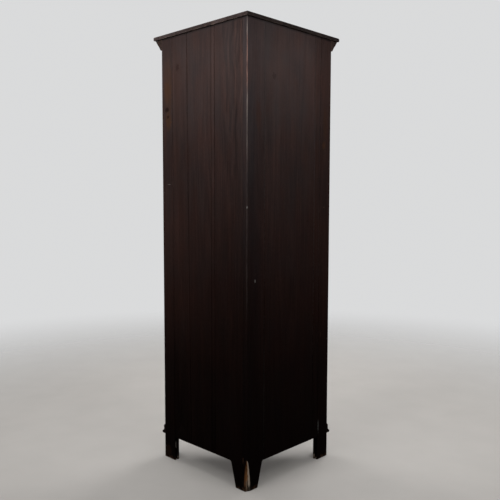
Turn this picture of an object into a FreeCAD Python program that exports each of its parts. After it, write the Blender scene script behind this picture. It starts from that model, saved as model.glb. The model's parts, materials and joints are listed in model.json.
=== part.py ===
"""Corner cabinet on three feet: plank walls, face frame, glazed upper door and panelled lower door.

Millimetres, +Z up. The front faces -Y, +X is to the right of someone who stands before it, and the
origin is on the floor, in the middle of the box round the whole cabinet.
"""
import FreeCAD, Part
import math
import os

Vector = FreeCAD.Vector
ROOT2 = math.sqrt(2.0)

# Carcass
HEIGHT = 1600.0
WALL_LENGTH = 445.0
CANT_WIDTH = 60.0
FOOT_HEIGHT = 90.0
TOP_THICK = 13.0
TOP_OVERHANG = 45.0
TOP_BACK_OVERHANG = 4.0
TOP_ROUND = 5.0

# Back planks: the inner joint of each wall is measured from the back corner, the outer plank by its width
PLANK_THICK = 20.0
WALL_STILE_WIDTH = 60.0
RIGHT_INNER_JOINT = 158.0
RIGHT_OUTER_PLANK_LOW = 97.0
RIGHT_OUTER_PLANK_HIGH = 81.0
LEFT_INNER_JOINT = 84.0
LEFT_OUTER_PLANK = 33.0
V_JOINT = 2.0
BEAD_WIDTH = 17.0
QUIRK = 2.0
TONGUE_LENGTH = 8.0
TONGUE_THICK = 6.0
TONGUE_FIT = 0.2
TONGUE_END_GAP = 1.0

# Feet: the splinter missing from the back foot is measured up its arris and along each wall
FOOT_TOP_WIDTH = 77.0
FOOT_BOTTOM_WIDTH = 53.0
FOOT_CORNER_RADIUS = 8.0
CHIP_HEIGHT = 112.0
CHIP_RIGHT = 8.0
CHIP_LEFT = 18.0

# Face frame
FRAME_THICK = 20.0
FRONT_STILE_WIDTH = 45.0
TOP_RAIL_HEIGHT = 85.0
MIDDLE_RAIL_Z = 700.0
MIDDLE_RAIL_HEIGHT = 45.0
BOTTOM_RAIL_HEIGHT = 60.0
TENON_LENGTH = 28.0
TENON_THICK = 7.0
TENON_SHOULDER = 8.0
TENON_FIT = 0.2
TENON_END_GAP = 1.0

# Boards and shelves: a shelf's height is that of its upper face
BOARD_THICK = 18.0
BOARD_FIT = 0.5
STOP_LIP = 10.0
SHELF_SETBACK = 45.0
SHELF_CORNER = 6.0
LOWER_SHELF_Z = 486.0
UPPER_SHELF_LOW_Z = 968.0
UPPER_SHELF_HIGH_Z = 1210.0
CLEAT_THICK = 15.0
CLEAT_HEIGHT = 20.0
CLEAT_END_GAP = 25.0
BLOCK_SIDE = 25.0
BLOCK_LENGTH = 60.0
BLOCK_PITCH = 150.0

# Nails through the planks into the fixed boards
NAIL_RADIUS = 1.25
NAIL_HEAD_RADIUS = 2.5
NAIL_HEAD_THICK = 1.0
NAIL_LENGTH = 38.0
NAIL_EDGE = 30.0
NAIL_PAIR_WIDTH = 95.0
NAIL_FIT = 0.02

# Cornice and base moulding
CORNICE_HEIGHT = 40.0
CORNICE_PROJECTION = 35.0
CORNICE_LIP = 10.0
CORNICE_LIP_HEIGHT = 4.0
CORNICE_FILLET = 2.0
CORNICE_BULGE = 1.5
BASE_HEIGHT = 38.0
BASE_PROJECTION = 17.0
BASE_NOSE_HEIGHT = 10.0
BASE_NOSE_ROUND = 4.0
BASE_TOP_PROJECTION = 2.0
BASE_TOP_FILLET = 2.0
BASE_BULGE = 2.5

# Doors
DOOR_GAP = 2.0
DOOR_STOP_GAP = 0.5
DOOR_STILE_WIDTH = 48.0
UPPER_TOP_RAIL_HEIGHT = 48.0
UPPER_BOTTOM_RAIL_HEIGHT = 60.0
LOWER_TOP_RAIL_HEIGHT = 60.0
LOWER_BOTTOM_RAIL_HEIGHT = 70.0

# Glazing of the upper door
PANE_COLUMNS = 2
PANE_ROWS = 3
BAR_WIDTH = 18.0
BAR_FACE = 6.0
BAR_SIDE = 3.5
RIB_WIDTH = 6.0
REBATE = 6.0
GLASS_LIP = 8.5
GLASS_THICK = 3.0
GLASS_FIT = 1.0
GLAZING_BEAD = 5.0

# Panel of the lower door
PANEL_THICK = 6.0
PANEL_DEPTH = 7.0
PANEL_GROOVE = 8.0
PANEL_FIT = 0.3
PANEL_END_GAP = 1.5
PANEL_MARGIN = 12.0
FIELD_RISE = 5.0
FIELD_BEVEL = 32.0
MOULDING_WIDTH = 9.0
MOULDING_EDGE = 2.0

# Butt hinges
HINGE_LENGTH = 60.0
HINGE_INSET = 90.0
LEAF_THICK = 2.0
LEAF_DEPTH = 17.0
LEAF_GAP = 0.1
LEAF_FIT = 0.1
BARREL_RADIUS = 3.5
BARREL_GAP = 0.3
KNUCKLES = 5
KNUCKLE_GAP = 0.3
PIN_RADIUS = 1.6
PIN_RUNNING_FIT = 0.05
PIN_PRESS_FIT = 0.01
SCREWS_PER_LEAF = 3
SCREW_RADIUS = 1.5
SCREW_HEAD_RADIUS = 3.0
SCREW_HEAD_DEPTH = 1.5
SCREW_LENGTH = 14.0
SCREW_FIT = 0.05

# Knobs and latches
UPPER_KNOB_RISE = 330.0
LOWER_KNOB_DROP = 120.0
ROSE_RADIUS = 17.0
ROSE_THICK = 2.5
KNOB_RADIUS = 14.0
KNOB_PROJECTION = 34.0
KNOB_WIDEST = 24.0
KNOB_NECK_RADIUS = 6.0
KNOB_NECK_LENGTH = 6.0
KNOB_GAP = 0.3
KNOB_DOME = 3.0
KNOB_SHOULDER = 2.0
SPINDLE_RADIUS = 4.0
SPINDLE_FIT = 0.06
THREAD_RADIUS = 3.0
THREAD_FIT = 0.02
THREAD_TAIL = 1.0
LATCH_THICK = 3.0
LATCH_WIDTH = 14.0
LATCH_LAP = 14.0
LATCH_GAP = 1.0
NUT_RADIUS = 5.5
NUT_THICK = 4.0
NUT_SIDES = 6

# Levels and lines that follow from the sizes above
TOP_UNDERSIDE = HEIGHT - TOP_THICK
STILE_START = WALL_LENGTH - WALL_STILE_WIDTH
RIGHT_OUTER_JOINT_LOW = STILE_START - RIGHT_OUTER_PLANK_LOW
RIGHT_OUTER_JOINT_HIGH = STILE_START - RIGHT_OUTER_PLANK_HIGH
LEFT_OUTER_JOINT = STILE_START - LEFT_OUTER_PLANK
FRONT_DEPTH = (WALL_LENGTH + CANT_WIDTH) / ROOT2
FRONT_HALF = (WALL_LENGTH - CANT_WIDTH) / ROOT2
CORNER_Y = (FRONT_DEPTH + TOP_OVERHANG - TOP_BACK_OVERHANG * ROOT2) / 2
FRONT_Y = CORNER_Y - FRONT_DEPTH
OPENING_HALF = FRONT_HALF - FRONT_STILE_WIDTH
BOTTOM_RAIL_TOP = FOOT_HEIGHT + BOTTOM_RAIL_HEIGHT
MIDDLE_RAIL_TOP = MIDDLE_RAIL_Z + MIDDLE_RAIL_HEIGHT
TOP_RAIL_Z = TOP_UNDERSIDE - TOP_RAIL_HEIGHT
BOTTOM_BOARD_Z = BOTTOM_RAIL_TOP + STOP_LIP
MIDDLE_BOARD_Z = MIDDLE_RAIL_TOP + STOP_LIP
DOOR_THICK = FRAME_THICK - DOOR_STOP_GAP
DOOR_HALF = OPENING_HALF - DOOR_GAP
SIGHT_HALF = DOOR_HALF - DOOR_STILE_WIDTH
UPPER_DOOR_LOW = MIDDLE_RAIL_TOP + DOOR_GAP
UPPER_DOOR_HIGH = TOP_RAIL_Z - DOOR_GAP
LOWER_DOOR_LOW = BOTTOM_RAIL_TOP + DOOR_GAP
LOWER_DOOR_HIGH = MIDDLE_RAIL_Z - DOOR_GAP
HINGE_X = -OPENING_HALF + DOOR_GAP / 2
HINGE_D = -(BARREL_RADIUS + BARREL_GAP)
KNOB_X = DOOR_HALF - DOOR_STILE_WIDTH / 2
UPPER_KNOB_Z = UPPER_DOOR_LOW + UPPER_KNOB_RISE
LOWER_KNOB_Z = LOWER_DOOR_HIGH - LOWER_KNOB_DROP
LATCH_D = FRAME_THICK + LATCH_GAP
TONGUE_T = (PLANK_THICK - TONGUE_THICK) / 2

RIGHT = 1
LEFT = -1
SIDES = {"right": RIGHT, "left": LEFT}


# Points, blocks and prisms

def wall_point(side, s, t, z=0.0):
    """A point s along a wall from the back corner, and t in from the wall's outer face."""
    return Vector(side * (s - t) / ROOT2, CORNER_Y - (s + t) / ROOT2, z)


def front_point(x, d, z=0.0):
    """A point x across the front, and d behind the front face."""
    return Vector(x, FRONT_Y + d, z)


def flat_face(points):
    return Part.Face(Part.makePolygon(points + points[:1]))


def prism(points, low, high):
    """A plan outline raised from one level to another."""
    base = [Vector(point.x, point.y, low) for point in points]
    return flat_face(base).extrude(Vector(0, 0, high - low))


def tapered_prism(base, top):
    """A solid between two outlines of as many points, whose side faces are flat."""
    faces = [flat_face(base), flat_face(top)]
    for index in range(len(base)):
        after = (index + 1) % len(base)
        faces.append(flat_face([base[index], base[after], top[after], top[index]]))
    solid = Part.Solid(Part.Shell(faces))
    if solid.Volume < 0:
        solid.reverse()
    return solid


def front_block(x_range, d_range, z_range):
    """A block square to the front."""
    size = [pair[1] - pair[0] for pair in (x_range, d_range, z_range)]
    return Part.makeBox(size[0], size[1], size[2], front_point(x_range[0], d_range[0], z_range[0]))


def rod(start, direction, length, radius):
    return Part.makeCylinder(radius, length, start, direction)


def joined(*solids):
    """Solids that make up one piece, as one solid."""
    return solids[0].fuse(list(solids[1:])).removeSplitter()


def arc(start, end, bulge):
    """An arc between two (across, up) points, whose middle stands off to the left by bulge."""
    across = end[0] - start[0]
    up = end[1] - start[1]
    share = bulge / math.hypot(across, up)
    middle = ((start[0] + end[0]) / 2 - up * share, (start[1] + end[1]) / 2 + across * share)
    return [start, middle, end]


def line(start, end):
    return [start, end]


def profile_face(runs, place):
    """A face bounded by line and arc runs, with place turning (across, up) into a point."""
    edges = []
    for run in runs:
        points = [place(across, up) for across, up in run]
        shape = Part.Arc(*points) if len(points) == 3 else Part.LineSegment(*points)
        edges.append(shape.toShape())
    return Part.Face(Part.Wire(edges))


# Back walls and feet

def plank_outline(start, end, first_edge, last_edge, beaded=False):
    """Section of a back plank as (s, t) points; its edges are square, grooved or tongued."""
    points = [(start, 0.0)]
    if first_edge == "groove":
        points = [(start, V_JOINT), (start + V_JOINT, 0.0)]
    if beaded:
        points.append((start + BEAD_WIDTH - QUIRK, 0.0))
        points.append((start + BEAD_WIDTH, QUIRK))
        points.append((start + BEAD_WIDTH + QUIRK, 0.0))
    if last_edge == "tongue":
        points.append((end - V_JOINT, 0.0))
        points.append((end, V_JOINT))
        points.append((end, TONGUE_T))
        points.append((end + TONGUE_LENGTH, TONGUE_T))
        points.append((end + TONGUE_LENGTH, TONGUE_T + TONGUE_THICK))
        points.append((end, TONGUE_T + TONGUE_THICK))
    else:
        points.append((end, 0.0))
    points.append((end, PLANK_THICK))
    points.append((start, PLANK_THICK))
    if first_edge == "groove":
        depth = start + TONGUE_LENGTH + TONGUE_END_GAP
        points.append((start, TONGUE_T + TONGUE_THICK + TONGUE_FIT))
        points.append((depth, TONGUE_T + TONGUE_THICK + TONGUE_FIT))
        points.append((depth, TONGUE_T - TONGUE_FIT))
        points.append((start, TONGUE_T - TONGUE_FIT))
    return points


def upright(side, low_outline, low, high_outline=None):
    """A wall piece that runs up to the top board, and may taper on the way."""
    base = [wall_point(side, s, t, low) for s, t in low_outline]
    top = [wall_point(side, s, t, TOP_UNDERSIDE) for s, t in high_outline or low_outline]
    return tapered_prism(base, top)


def foot_cut(side):
    """What is sawn away beside the back foot, with a rounded inner corner."""
    slope = math.atan2(FOOT_TOP_WIDTH - FOOT_BOTTOM_WIDTH, FOOT_HEIGHT)
    half_angle = (math.pi / 2 + slope) / 2
    tangent = FOOT_CORNER_RADIUS / math.tan(half_angle)
    corner = (FOOT_TOP_WIDTH, FOOT_HEIGHT)
    on_foot = (corner[0] - tangent * math.sin(slope), corner[1] - tangent * math.cos(slope))
    on_edge = (corner[0] + tangent, corner[1])
    sagitta = FOOT_CORNER_RADIUS * (1 - math.sin(half_angle))
    toe = (FOOT_BOTTOM_WIDTH, 0.0)
    far_low = (STILE_START, 0.0)
    far_high = (STILE_START, FOOT_HEIGHT)
    runs = [line(toe, on_foot), arc(on_foot, on_edge, sagitta), line(on_edge, far_high)]
    runs += [line(far_high, far_low), line(far_low, toe)]
    face = profile_face(runs, lambda s, z: wall_point(side, s, 0.0, z))
    return face.extrude(wall_point(side, 0.0, PLANK_THICK) - wall_point(side, 0.0, 0.0))


def chip_cut():
    """The splinter that is missing from the arris of the back foot."""
    corner = wall_point(RIGHT, 0.0, 0.0)
    peak = wall_point(RIGHT, 0.0, 0.0, CHIP_HEIGHT)
    right = wall_point(RIGHT, CHIP_RIGHT, 0.0)
    left = wall_point(LEFT, CHIP_LEFT, 0.0)
    sides = [[corner, right, left], [corner, peak, right], [corner, left, peak], [peak, left, right]]
    chip = Part.Solid(Part.Shell([flat_face(points) for points in sides]))
    if chip.Volume < 0:
        chip.reverse()
    return chip


def nail_places():
    """Each nail as (node of its plank, side, s, height of its board's middle)."""
    spans = {
        "plank_right_1": (RIGHT, PLANK_THICK, RIGHT_INNER_JOINT),
        "plank_right_2": (RIGHT, RIGHT_INNER_JOINT, RIGHT_OUTER_JOINT_LOW),
        "plank_right_3": (RIGHT, RIGHT_OUTER_JOINT_HIGH, STILE_START),
        "plank_left_1": (LEFT, 0.0, LEFT_INNER_JOINT),
        "plank_left_2": (LEFT, LEFT_INNER_JOINT, LEFT_OUTER_JOINT),
    }
    places = []
    for node, (side, start, end) in spans.items():
        across = [start + NAIL_EDGE, end - NAIL_EDGE]
        if end - start < NAIL_PAIR_WIDTH:
            across = [(start + end) / 2]
        for top in (BOTTOM_BOARD_Z, MIDDLE_BOARD_Z):
            places += [(node, side, s, top - BOARD_THICK / 2) for s in across]
    return places


def nail(side, s, z, fit=0.0):
    """A nail with its head flush in the outer face of the wall; fit widens it into its own hole."""
    inward = wall_point(side, 0.0, 1.0) - wall_point(side, 0.0, 0.0)
    start = wall_point(side, s, 0.0, z)
    shank = rod(start, inward, NAIL_LENGTH + fit, NAIL_RADIUS + fit)
    head = rod(start, inward, NAIL_HEAD_THICK + fit, NAIL_HEAD_RADIUS + fit)
    return joined(shank, head)


def wall_stile_outline():
    """Section of a wall stile, grooved for the last plank and for the canted return."""
    cant_middle = WALL_LENGTH - FRAME_THICK / 2
    groove_start = cant_middle - TONGUE_THICK / 2 - TONGUE_FIT
    groove_end = cant_middle + TONGUE_THICK / 2 + TONGUE_FIT
    groove_floor = PLANK_THICK - TONGUE_LENGTH - TONGUE_END_GAP
    points = plank_outline(STILE_START, WALL_LENGTH, "groove", "square")
    inner_corner = points.index((WALL_LENGTH, PLANK_THICK))
    groove = [(groove_end, PLANK_THICK), (groove_end, groove_floor)]
    groove += [(groove_start, groove_floor), (groove_start, PLANK_THICK)]
    return points[:inner_corner + 1] + groove + points[inner_corner + 1:]


def mitre_inner():
    """Where the inner faces of a canted return and the face frame meet, as (s, t)."""
    s = WALL_LENGTH - FRAME_THICK
    return (s, WALL_LENGTH + CANT_WIDTH - FRAME_THICK * ROOT2 - s)


def cant_board(side):
    """A canted return down to the floor, tongued into its wall stile and mitred to the front stile."""
    middle = WALL_LENGTH - FRAME_THICK / 2
    outline = [(WALL_LENGTH, PLANK_THICK), (WALL_LENGTH, CANT_WIDTH), mitre_inner()]
    outline.append((WALL_LENGTH - FRAME_THICK, PLANK_THICK))
    outline.append((middle - TONGUE_THICK / 2, PLANK_THICK))
    outline.append((middle - TONGUE_THICK / 2, PLANK_THICK - TONGUE_LENGTH))
    outline.append((middle + TONGUE_THICK / 2, PLANK_THICK - TONGUE_LENGTH))
    outline.append((middle + TONGUE_THICK / 2, PLANK_THICK))
    return prism([wall_point(side, s, t) for s, t in outline], 0.0, TOP_UNDERSIDE)


def wall_pieces():
    right_low = RIGHT_OUTER_JOINT_LOW
    right_high = RIGHT_OUTER_JOINT_HIGH
    pieces = {
        "plank_right_1": upright(
            RIGHT, plank_outline(PLANK_THICK, RIGHT_INNER_JOINT, "square", "tongue"), 0.0),
        "plank_right_2": upright(
            RIGHT,
            plank_outline(RIGHT_INNER_JOINT, right_low, "groove", "tongue", True), FOOT_HEIGHT,
            plank_outline(RIGHT_INNER_JOINT, right_high, "groove", "tongue", True)),
        "plank_right_3": upright(
            RIGHT,
            plank_outline(right_low, STILE_START, "groove", "tongue"), FOOT_HEIGHT,
            plank_outline(right_high, STILE_START, "groove", "tongue")),
        "plank_left_1": upright(LEFT, plank_outline(0.0, LEFT_INNER_JOINT, "square", "tongue"), 0.0),
        "plank_left_2": upright(
            LEFT, plank_outline(LEFT_INNER_JOINT, LEFT_OUTER_JOINT, "groove", "tongue"), FOOT_HEIGHT),
        "plank_left_3": upright(
            LEFT, plank_outline(LEFT_OUTER_JOINT, STILE_START, "groove", "tongue"), FOOT_HEIGHT),
    }
    pieces["plank_right_1"] = pieces["plank_right_1"].cut(foot_cut(RIGHT))
    pieces["plank_left_1"] = pieces["plank_left_1"].cut([foot_cut(LEFT), chip_cut()])
    nails = []
    for node, side, s, z in nail_places():
        pieces[node] = pieces[node].cut(nail(side, s, z, NAIL_FIT))
        nails.append(nail(side, s, z))
    pieces["back_nails"] = Part.makeCompound(nails)
    for name, side in SIDES.items():
        pieces["wall_stile_" + name] = upright(side, wall_stile_outline(), 0.0)
        pieces["cant_board_" + name] = cant_board(side)
    return pieces


# Boards, shelves, cleats and glue blocks

def inner_outline(depth_limit):
    """Plan of the space between the walls and canted returns, up to a depth from the back corner."""
    near = PLANK_THICK + BOARD_FIT
    widest = WALL_LENGTH - FRAME_THICK - BOARD_FIT
    reach = depth_limit * ROOT2
    outline = [(widest, near), (widest, reach - widest)]
    if reach - near < widest + SHELF_CORNER:
        outline = [(reach - near - SHELF_CORNER, near), (reach - near - SHELF_CORNER, near + SHELF_CORNER)]
    points = [wall_point(RIGHT, near, near)]
    points += [wall_point(RIGHT, s, t) for s, t in outline]
    points += [wall_point(LEFT, s, t) for s, t in reversed(outline)]
    return points


def board_pieces():
    fixed = inner_outline(FRONT_DEPTH - FRAME_THICK)
    loose = inner_outline(FRONT_DEPTH - SHELF_SETBACK)
    boards = {
        "bottom_board": (fixed, BOTTOM_BOARD_Z),
        "middle_board": (fixed, MIDDLE_BOARD_Z),
        "lower_shelf": (loose, LOWER_SHELF_Z),
        "upper_shelf_low": (loose, UPPER_SHELF_LOW_Z),
        "upper_shelf_high": (loose, UPPER_SHELF_HIGH_Z),
    }
    pieces = {name: prism(outline, top - BOARD_THICK, top) for name, (outline, top) in boards.items()}
    holes = [nail(side, s, z, NAIL_FIT) for node, side, s, z in nail_places()]
    for name in ("bottom_board", "middle_board"):
        pieces[name] = pieces[name].cut(holes)
    cleat_start = {"right": PLANK_THICK, "left": PLANK_THICK + CLEAT_THICK}
    cleat_end = WALL_LENGTH - FRAME_THICK - CLEAT_END_GAP
    for name, side in SIDES.items():
        corners = [(cleat_start[name], PLANK_THICK), (cleat_end, PLANK_THICK)]
        corners += [(cleat_end, PLANK_THICK + CLEAT_THICK), (cleat_start[name], PLANK_THICK + CLEAT_THICK)]
        outline = [wall_point(side, s, t) for s, t in corners]
        levels = [top - BOARD_THICK for shape, top in boards.values()]
        cleats = [prism(outline, level - CLEAT_HEIGHT, level) for level in levels]
        pieces["shelf_cleats_" + name] = Part.makeCompound(cleats)
    pieces["glue_blocks"] = Part.makeCompound(glue_blocks())
    return pieces


def glue_blocks():
    """Triangular blocks behind the rails, under the bottom board and under the top board."""
    blocks = []
    for level in (BOTTOM_BOARD_Z - BOARD_THICK, TOP_UNDERSIDE):
        section = [(FRAME_THICK, level), (FRAME_THICK + BLOCK_SIDE, level), (FRAME_THICK, level - BLOCK_SIDE)]
        for middle in (-BLOCK_PITCH, 0.0, BLOCK_PITCH):
            face = flat_face([front_point(middle - BLOCK_LENGTH / 2, d, z) for d, z in section])
            blocks.append(face.extrude(Vector(BLOCK_LENGTH, 0, 0)))
    return blocks


def top_board():
    reach = WALL_LENGTH + TOP_OVERHANG
    front_corner = (reach, WALL_LENGTH + CANT_WIDTH + TOP_OVERHANG * ROOT2 - reach)
    corners = [(reach, -TOP_BACK_OVERHANG), front_corner]
    outline = [wall_point(RIGHT, -TOP_BACK_OVERHANG, -TOP_BACK_OVERHANG)]
    outline += [wall_point(RIGHT, s, t) for s, t in corners]
    outline += [wall_point(LEFT, s, t) for s, t in reversed(corners)]
    board = prism(outline, TOP_UNDERSIDE, HEIGHT)
    level = [edge for edge in board.Edges if edge.BoundBox.ZLength < TOP_ROUND]
    shown = []
    for start, end in zip(outline[1:4], outline[2:5]):
        middle = (start + end) / 2
        for edge in level:
            if math.hypot(edge.CenterOfMass.x - middle.x, edge.CenterOfMass.y - middle.y) < TOP_ROUND:
                shown.append(edge)
    return board.makeFillet(TOP_ROUND, shown)


# Mouldings

def cornice_runs():
    """Cornice section as (projection, height above its lower edge)."""
    lip = (CORNICE_LIP, CORNICE_LIP_HEIGHT)
    brow = (CORNICE_PROJECTION, CORNICE_HEIGHT - CORNICE_FILLET)
    middle = ((lip[0] + brow[0]) / 2, (lip[1] + brow[1]) / 2)
    runs = [arc((0.0, 0.0), lip, -CORNICE_BULGE), arc(lip, middle, CORNICE_BULGE / 2)]
    runs += [arc(middle, brow, -CORNICE_BULGE / 2), line(brow, (CORNICE_PROJECTION, CORNICE_HEIGHT))]
    runs += [line((CORNICE_PROJECTION, CORNICE_HEIGHT), (0.0, CORNICE_HEIGHT))]
    runs += [line((0.0, CORNICE_HEIGHT), (0.0, 0.0))]
    return runs


def base_runs():
    """Base moulding section as (projection, height above its lower edge)."""
    toe = (BASE_PROJECTION - BASE_NOSE_ROUND, 0.0)
    brow = (toe[0], BASE_NOSE_HEIGHT)
    neck = (BASE_TOP_PROJECTION, BASE_HEIGHT - BASE_TOP_FILLET)
    waist = ((brow[0] + neck[0]) / 2, (brow[1] + neck[1]) / 2)
    top = (BASE_TOP_PROJECTION, BASE_HEIGHT)
    runs = [line((0.0, 0.0), toe), arc(toe, brow, -BASE_NOSE_ROUND)]
    runs += [arc(brow, waist, BASE_BULGE), arc(waist, neck, -BASE_BULGE), line(neck, top)]
    runs += [line(top, (0.0, BASE_HEIGHT)), line((0.0, BASE_HEIGHT), (0.0, 0.0))]
    return runs


def mouldings(name, runs, low, height, reach):
    """A moulding round the front and both canted returns, mitred at the corners."""
    outer = WALL_LENGTH + reach
    outer_corner = (outer, WALL_LENGTH + CANT_WIDTH + reach * ROOT2 - outer)
    pieces = {}
    for side_name, side in SIDES.items():
        face = profile_face(runs, lambda p, z: wall_point(side, WALL_LENGTH + p, 0.0, low + z))
        along = wall_point(side, 0.0, outer_corner[1]) - wall_point(side, 0.0, 0.0)
        region = [(WALL_LENGTH, 0.0), (outer, 0.0), outer_corner, (WALL_LENGTH, CANT_WIDTH)]
        trim = prism([wall_point(side, s, t) for s, t in region], low, low + height)
        pieces[name + "_" + side_name] = face.extrude(along).common(trim)
    far = wall_point(RIGHT, outer_corner[0], outer_corner[1])
    face = profile_face(runs, lambda p, z: front_point(-far.x, -p, low + z))
    region = [front_point(-FRONT_HALF, 0.0), front_point(FRONT_HALF, 0.0), far, Vector(-far.x, far.y, 0)]
    trim = prism(region, low, low + height)
    pieces[name + "_front"] = face.extrude(Vector(2 * far.x, 0, 0)).common(trim)
    return pieces


# Face frame

def tenoned_rail(half, thick, low, high):
    """A rail between stiles at -half and +half, with a tenon at each end."""
    tenon_d = ((thick - TENON_THICK) / 2, (thick + TENON_THICK) / 2)
    tenon_z = (low + TENON_SHOULDER, high - TENON_SHOULDER)
    body = front_block((-half, half), (0.0, thick), (low, high))
    tenons = front_block((-half - TENON_LENGTH, half + TENON_LENGTH), tenon_d, tenon_z)
    return joined(body, tenons)


def mortise(side, half, thick, low, high):
    """The hole in a stile for one of those tenons."""
    depth = half + TENON_LENGTH + TENON_END_GAP
    tenon_d = ((thick - TENON_THICK) / 2 - TENON_FIT, (thick + TENON_THICK) / 2 + TENON_FIT)
    tenon_z = (low + TENON_SHOULDER - TENON_FIT, high - TENON_SHOULDER + TENON_FIT)
    return front_block((half, depth) if side == RIGHT else (-depth, -half), tenon_d, tenon_z)


def frame_pieces():
    rails = {
        "top_rail": (TOP_RAIL_Z, TOP_UNDERSIDE),
        "middle_rail": (MIDDLE_RAIL_Z, MIDDLE_RAIL_TOP),
        "bottom_rail": (FOOT_HEIGHT, BOTTOM_RAIL_TOP),
    }
    pieces = {name: tenoned_rail(OPENING_HALF, FRAME_THICK, low, high) for name, (low, high) in rails.items()}
    inner = wall_point(RIGHT, *mitre_inner())
    for name, side in SIDES.items():
        outline = [front_point(side * OPENING_HALF, 0.0), front_point(side * FRONT_HALF, 0.0)]
        outline += [front_point(side * inner.x, FRAME_THICK), front_point(side * OPENING_HALF, FRAME_THICK)]
        stile = prism(outline, FOOT_HEIGHT, TOP_UNDERSIDE)
        holes = [mortise(side, OPENING_HALF, FRAME_THICK, low, high) for low, high in rails.values()]
        pieces["front_stile_" + name] = stile.cut(holes)
    return pieces


# Doors

def door_frame(prefix, low, high, bottom_rail, top_rail, channel):
    """Stiles and rails of a door; channel cuts the glass rebate or the panel groove round its sight size."""
    rails = {
        prefix + "_door_bottom_rail": (low, low + bottom_rail),
        prefix + "_door_top_rail": (high - top_rail, high),
    }
    pieces = {}
    for name, (rail_low, rail_high) in rails.items():
        pieces[name] = tenoned_rail(SIGHT_HALF, DOOR_THICK, rail_low, rail_high).cut(channel)
    for name, side in {"hinge": LEFT, "lock": RIGHT}.items():
        across = (SIGHT_HALF, DOOR_HALF) if side == RIGHT else (-DOOR_HALF, -SIGHT_HALF)
        stile = front_block(across, (0.0, DOOR_THICK), (low, high))
        holes = [mortise(side, SIGHT_HALF, DOOR_THICK, *span) for span in rails.values()]
        pieces[prefix + "_door_" + name + "_stile"] = stile.cut(holes + [channel])
    return pieces


def upper_door():
    sight_low = UPPER_DOOR_LOW + UPPER_BOTTOM_RAIL_HEIGHT
    sight_high = UPPER_DOOR_HIGH - UPPER_TOP_RAIL_HEIGHT
    rebate_x = (-SIGHT_HALF - REBATE, SIGHT_HALF + REBATE)
    rebate_z = (sight_low - REBATE, sight_high + REBATE)
    rebate = front_block(rebate_x, (GLASS_LIP, DOOR_THICK), rebate_z)
    pieces = door_frame(
        "upper", UPPER_DOOR_LOW, UPPER_DOOR_HIGH, UPPER_BOTTOM_RAIL_HEIGHT, UPPER_TOP_RAIL_HEIGHT, rebate)
    pieces.update(glazing(rebate_x, rebate_z))
    return pieces


def bar_section():
    """Half outlines of a glazing bar: the moulded face and the rib behind it, as (across, depth)."""
    half = BAR_WIDTH / 2
    face = [(-half, GLASS_LIP), (-half, GLASS_LIP - BAR_SIDE), (-BAR_FACE / 2, 0.0)]
    face += [(-across, depth) for across, depth in reversed(face)]
    rib = [(-RIB_WIDTH / 2, GLASS_LIP), (RIB_WIDTH / 2, GLASS_LIP)]
    rib += [(RIB_WIDTH / 2, DOOR_THICK), (-RIB_WIDTH / 2, DOOR_THICK)]
    return face, rib


def glazing(rebate_x, rebate_z):
    """Glazing bars, panes and the beads that hold the panes from inside."""
    face, rib = bar_section()
    sight_z = (rebate_z[0] + REBATE, rebate_z[1] - REBATE)
    bar_x = cell_edges(rebate_x, PANE_COLUMNS)
    bar_z = cell_edges(rebate_z, PANE_ROWS)
    uprights = []
    for middle in bar_x[1:-1]:
        moulded = prism([front_point(middle + across, d) for across, d in face], *sight_z)
        back = prism([front_point(middle + across, d) for across, d in rib], *rebate_z)
        uprights.append(joined(moulded, back))
    cross_bars = []
    for middle in bar_z[1:-1]:
        moulded = flat_face([front_point(-SIGHT_HALF, d, middle + across) for across, d in face])
        back = flat_face([front_point(rebate_x[0], d, middle + across) for across, d in rib])
        moulded = moulded.extrude(Vector(2 * SIGHT_HALF, 0, 0))
        back = back.extrude(Vector(rebate_x[1] - rebate_x[0], 0, 0))
        cross_bars += joined(moulded, back).cut(uprights).Solids
    panes = []
    beads = []
    for x_range in cell_spans(bar_x):
        for z_range in cell_spans(bar_z):
            panes.append(pane(x_range, z_range))
            beads += pane_beads(x_range, z_range)
    return {
        "glazing_bar_upright": Part.makeCompound(uprights),
        "glazing_bars_cross": Part.makeCompound(cross_bars),
        "glass_panes": Part.makeCompound(panes),
        "glazing_beads": Part.makeCompound(beads),
    }


def cell_edges(span, cells):
    """Both ends of a span and the middles of the ribs that divide it into equal cells."""
    clear = (span[1] - span[0] - (cells - 1) * RIB_WIDTH) / cells
    middles = [span[0] + (clear + RIB_WIDTH) * index - RIB_WIDTH / 2 for index in range(1, cells)]
    return [span[0]] + middles + [span[1]]


def cell_spans(edges):
    """The clear space between neighbouring ribs or rebates."""
    spans = []
    for index in range(len(edges) - 1):
        start = edges[index] + (RIB_WIDTH / 2 if index > 0 else 0.0)
        end = edges[index + 1] - (RIB_WIDTH / 2 if index < len(edges) - 2 else 0.0)
        spans.append((start, end))
    return spans


def pane(x_range, z_range):
    across = (x_range[0] + GLASS_FIT, x_range[1] - GLASS_FIT)
    tall = (z_range[0] + GLASS_FIT, z_range[1] - GLASS_FIT)
    return front_block(across, (GLASS_LIP, GLASS_LIP + GLASS_THICK), tall)


def pane_beads(x_range, z_range):
    """Four strips behind a pane, the uprights between the other two."""
    d_range = (GLASS_LIP + GLASS_THICK, DOOR_THICK)
    low = (z_range[0], z_range[0] + GLAZING_BEAD)
    high = (z_range[1] - GLAZING_BEAD, z_range[1])
    beads = [front_block(x_range, d_range, low), front_block(x_range, d_range, high)]
    for across in ((x_range[0], x_range[0] + GLAZING_BEAD), (x_range[1] - GLAZING_BEAD, x_range[1])):
        beads.append(front_block(across, d_range, (low[1], high[0])))
    return beads


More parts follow.
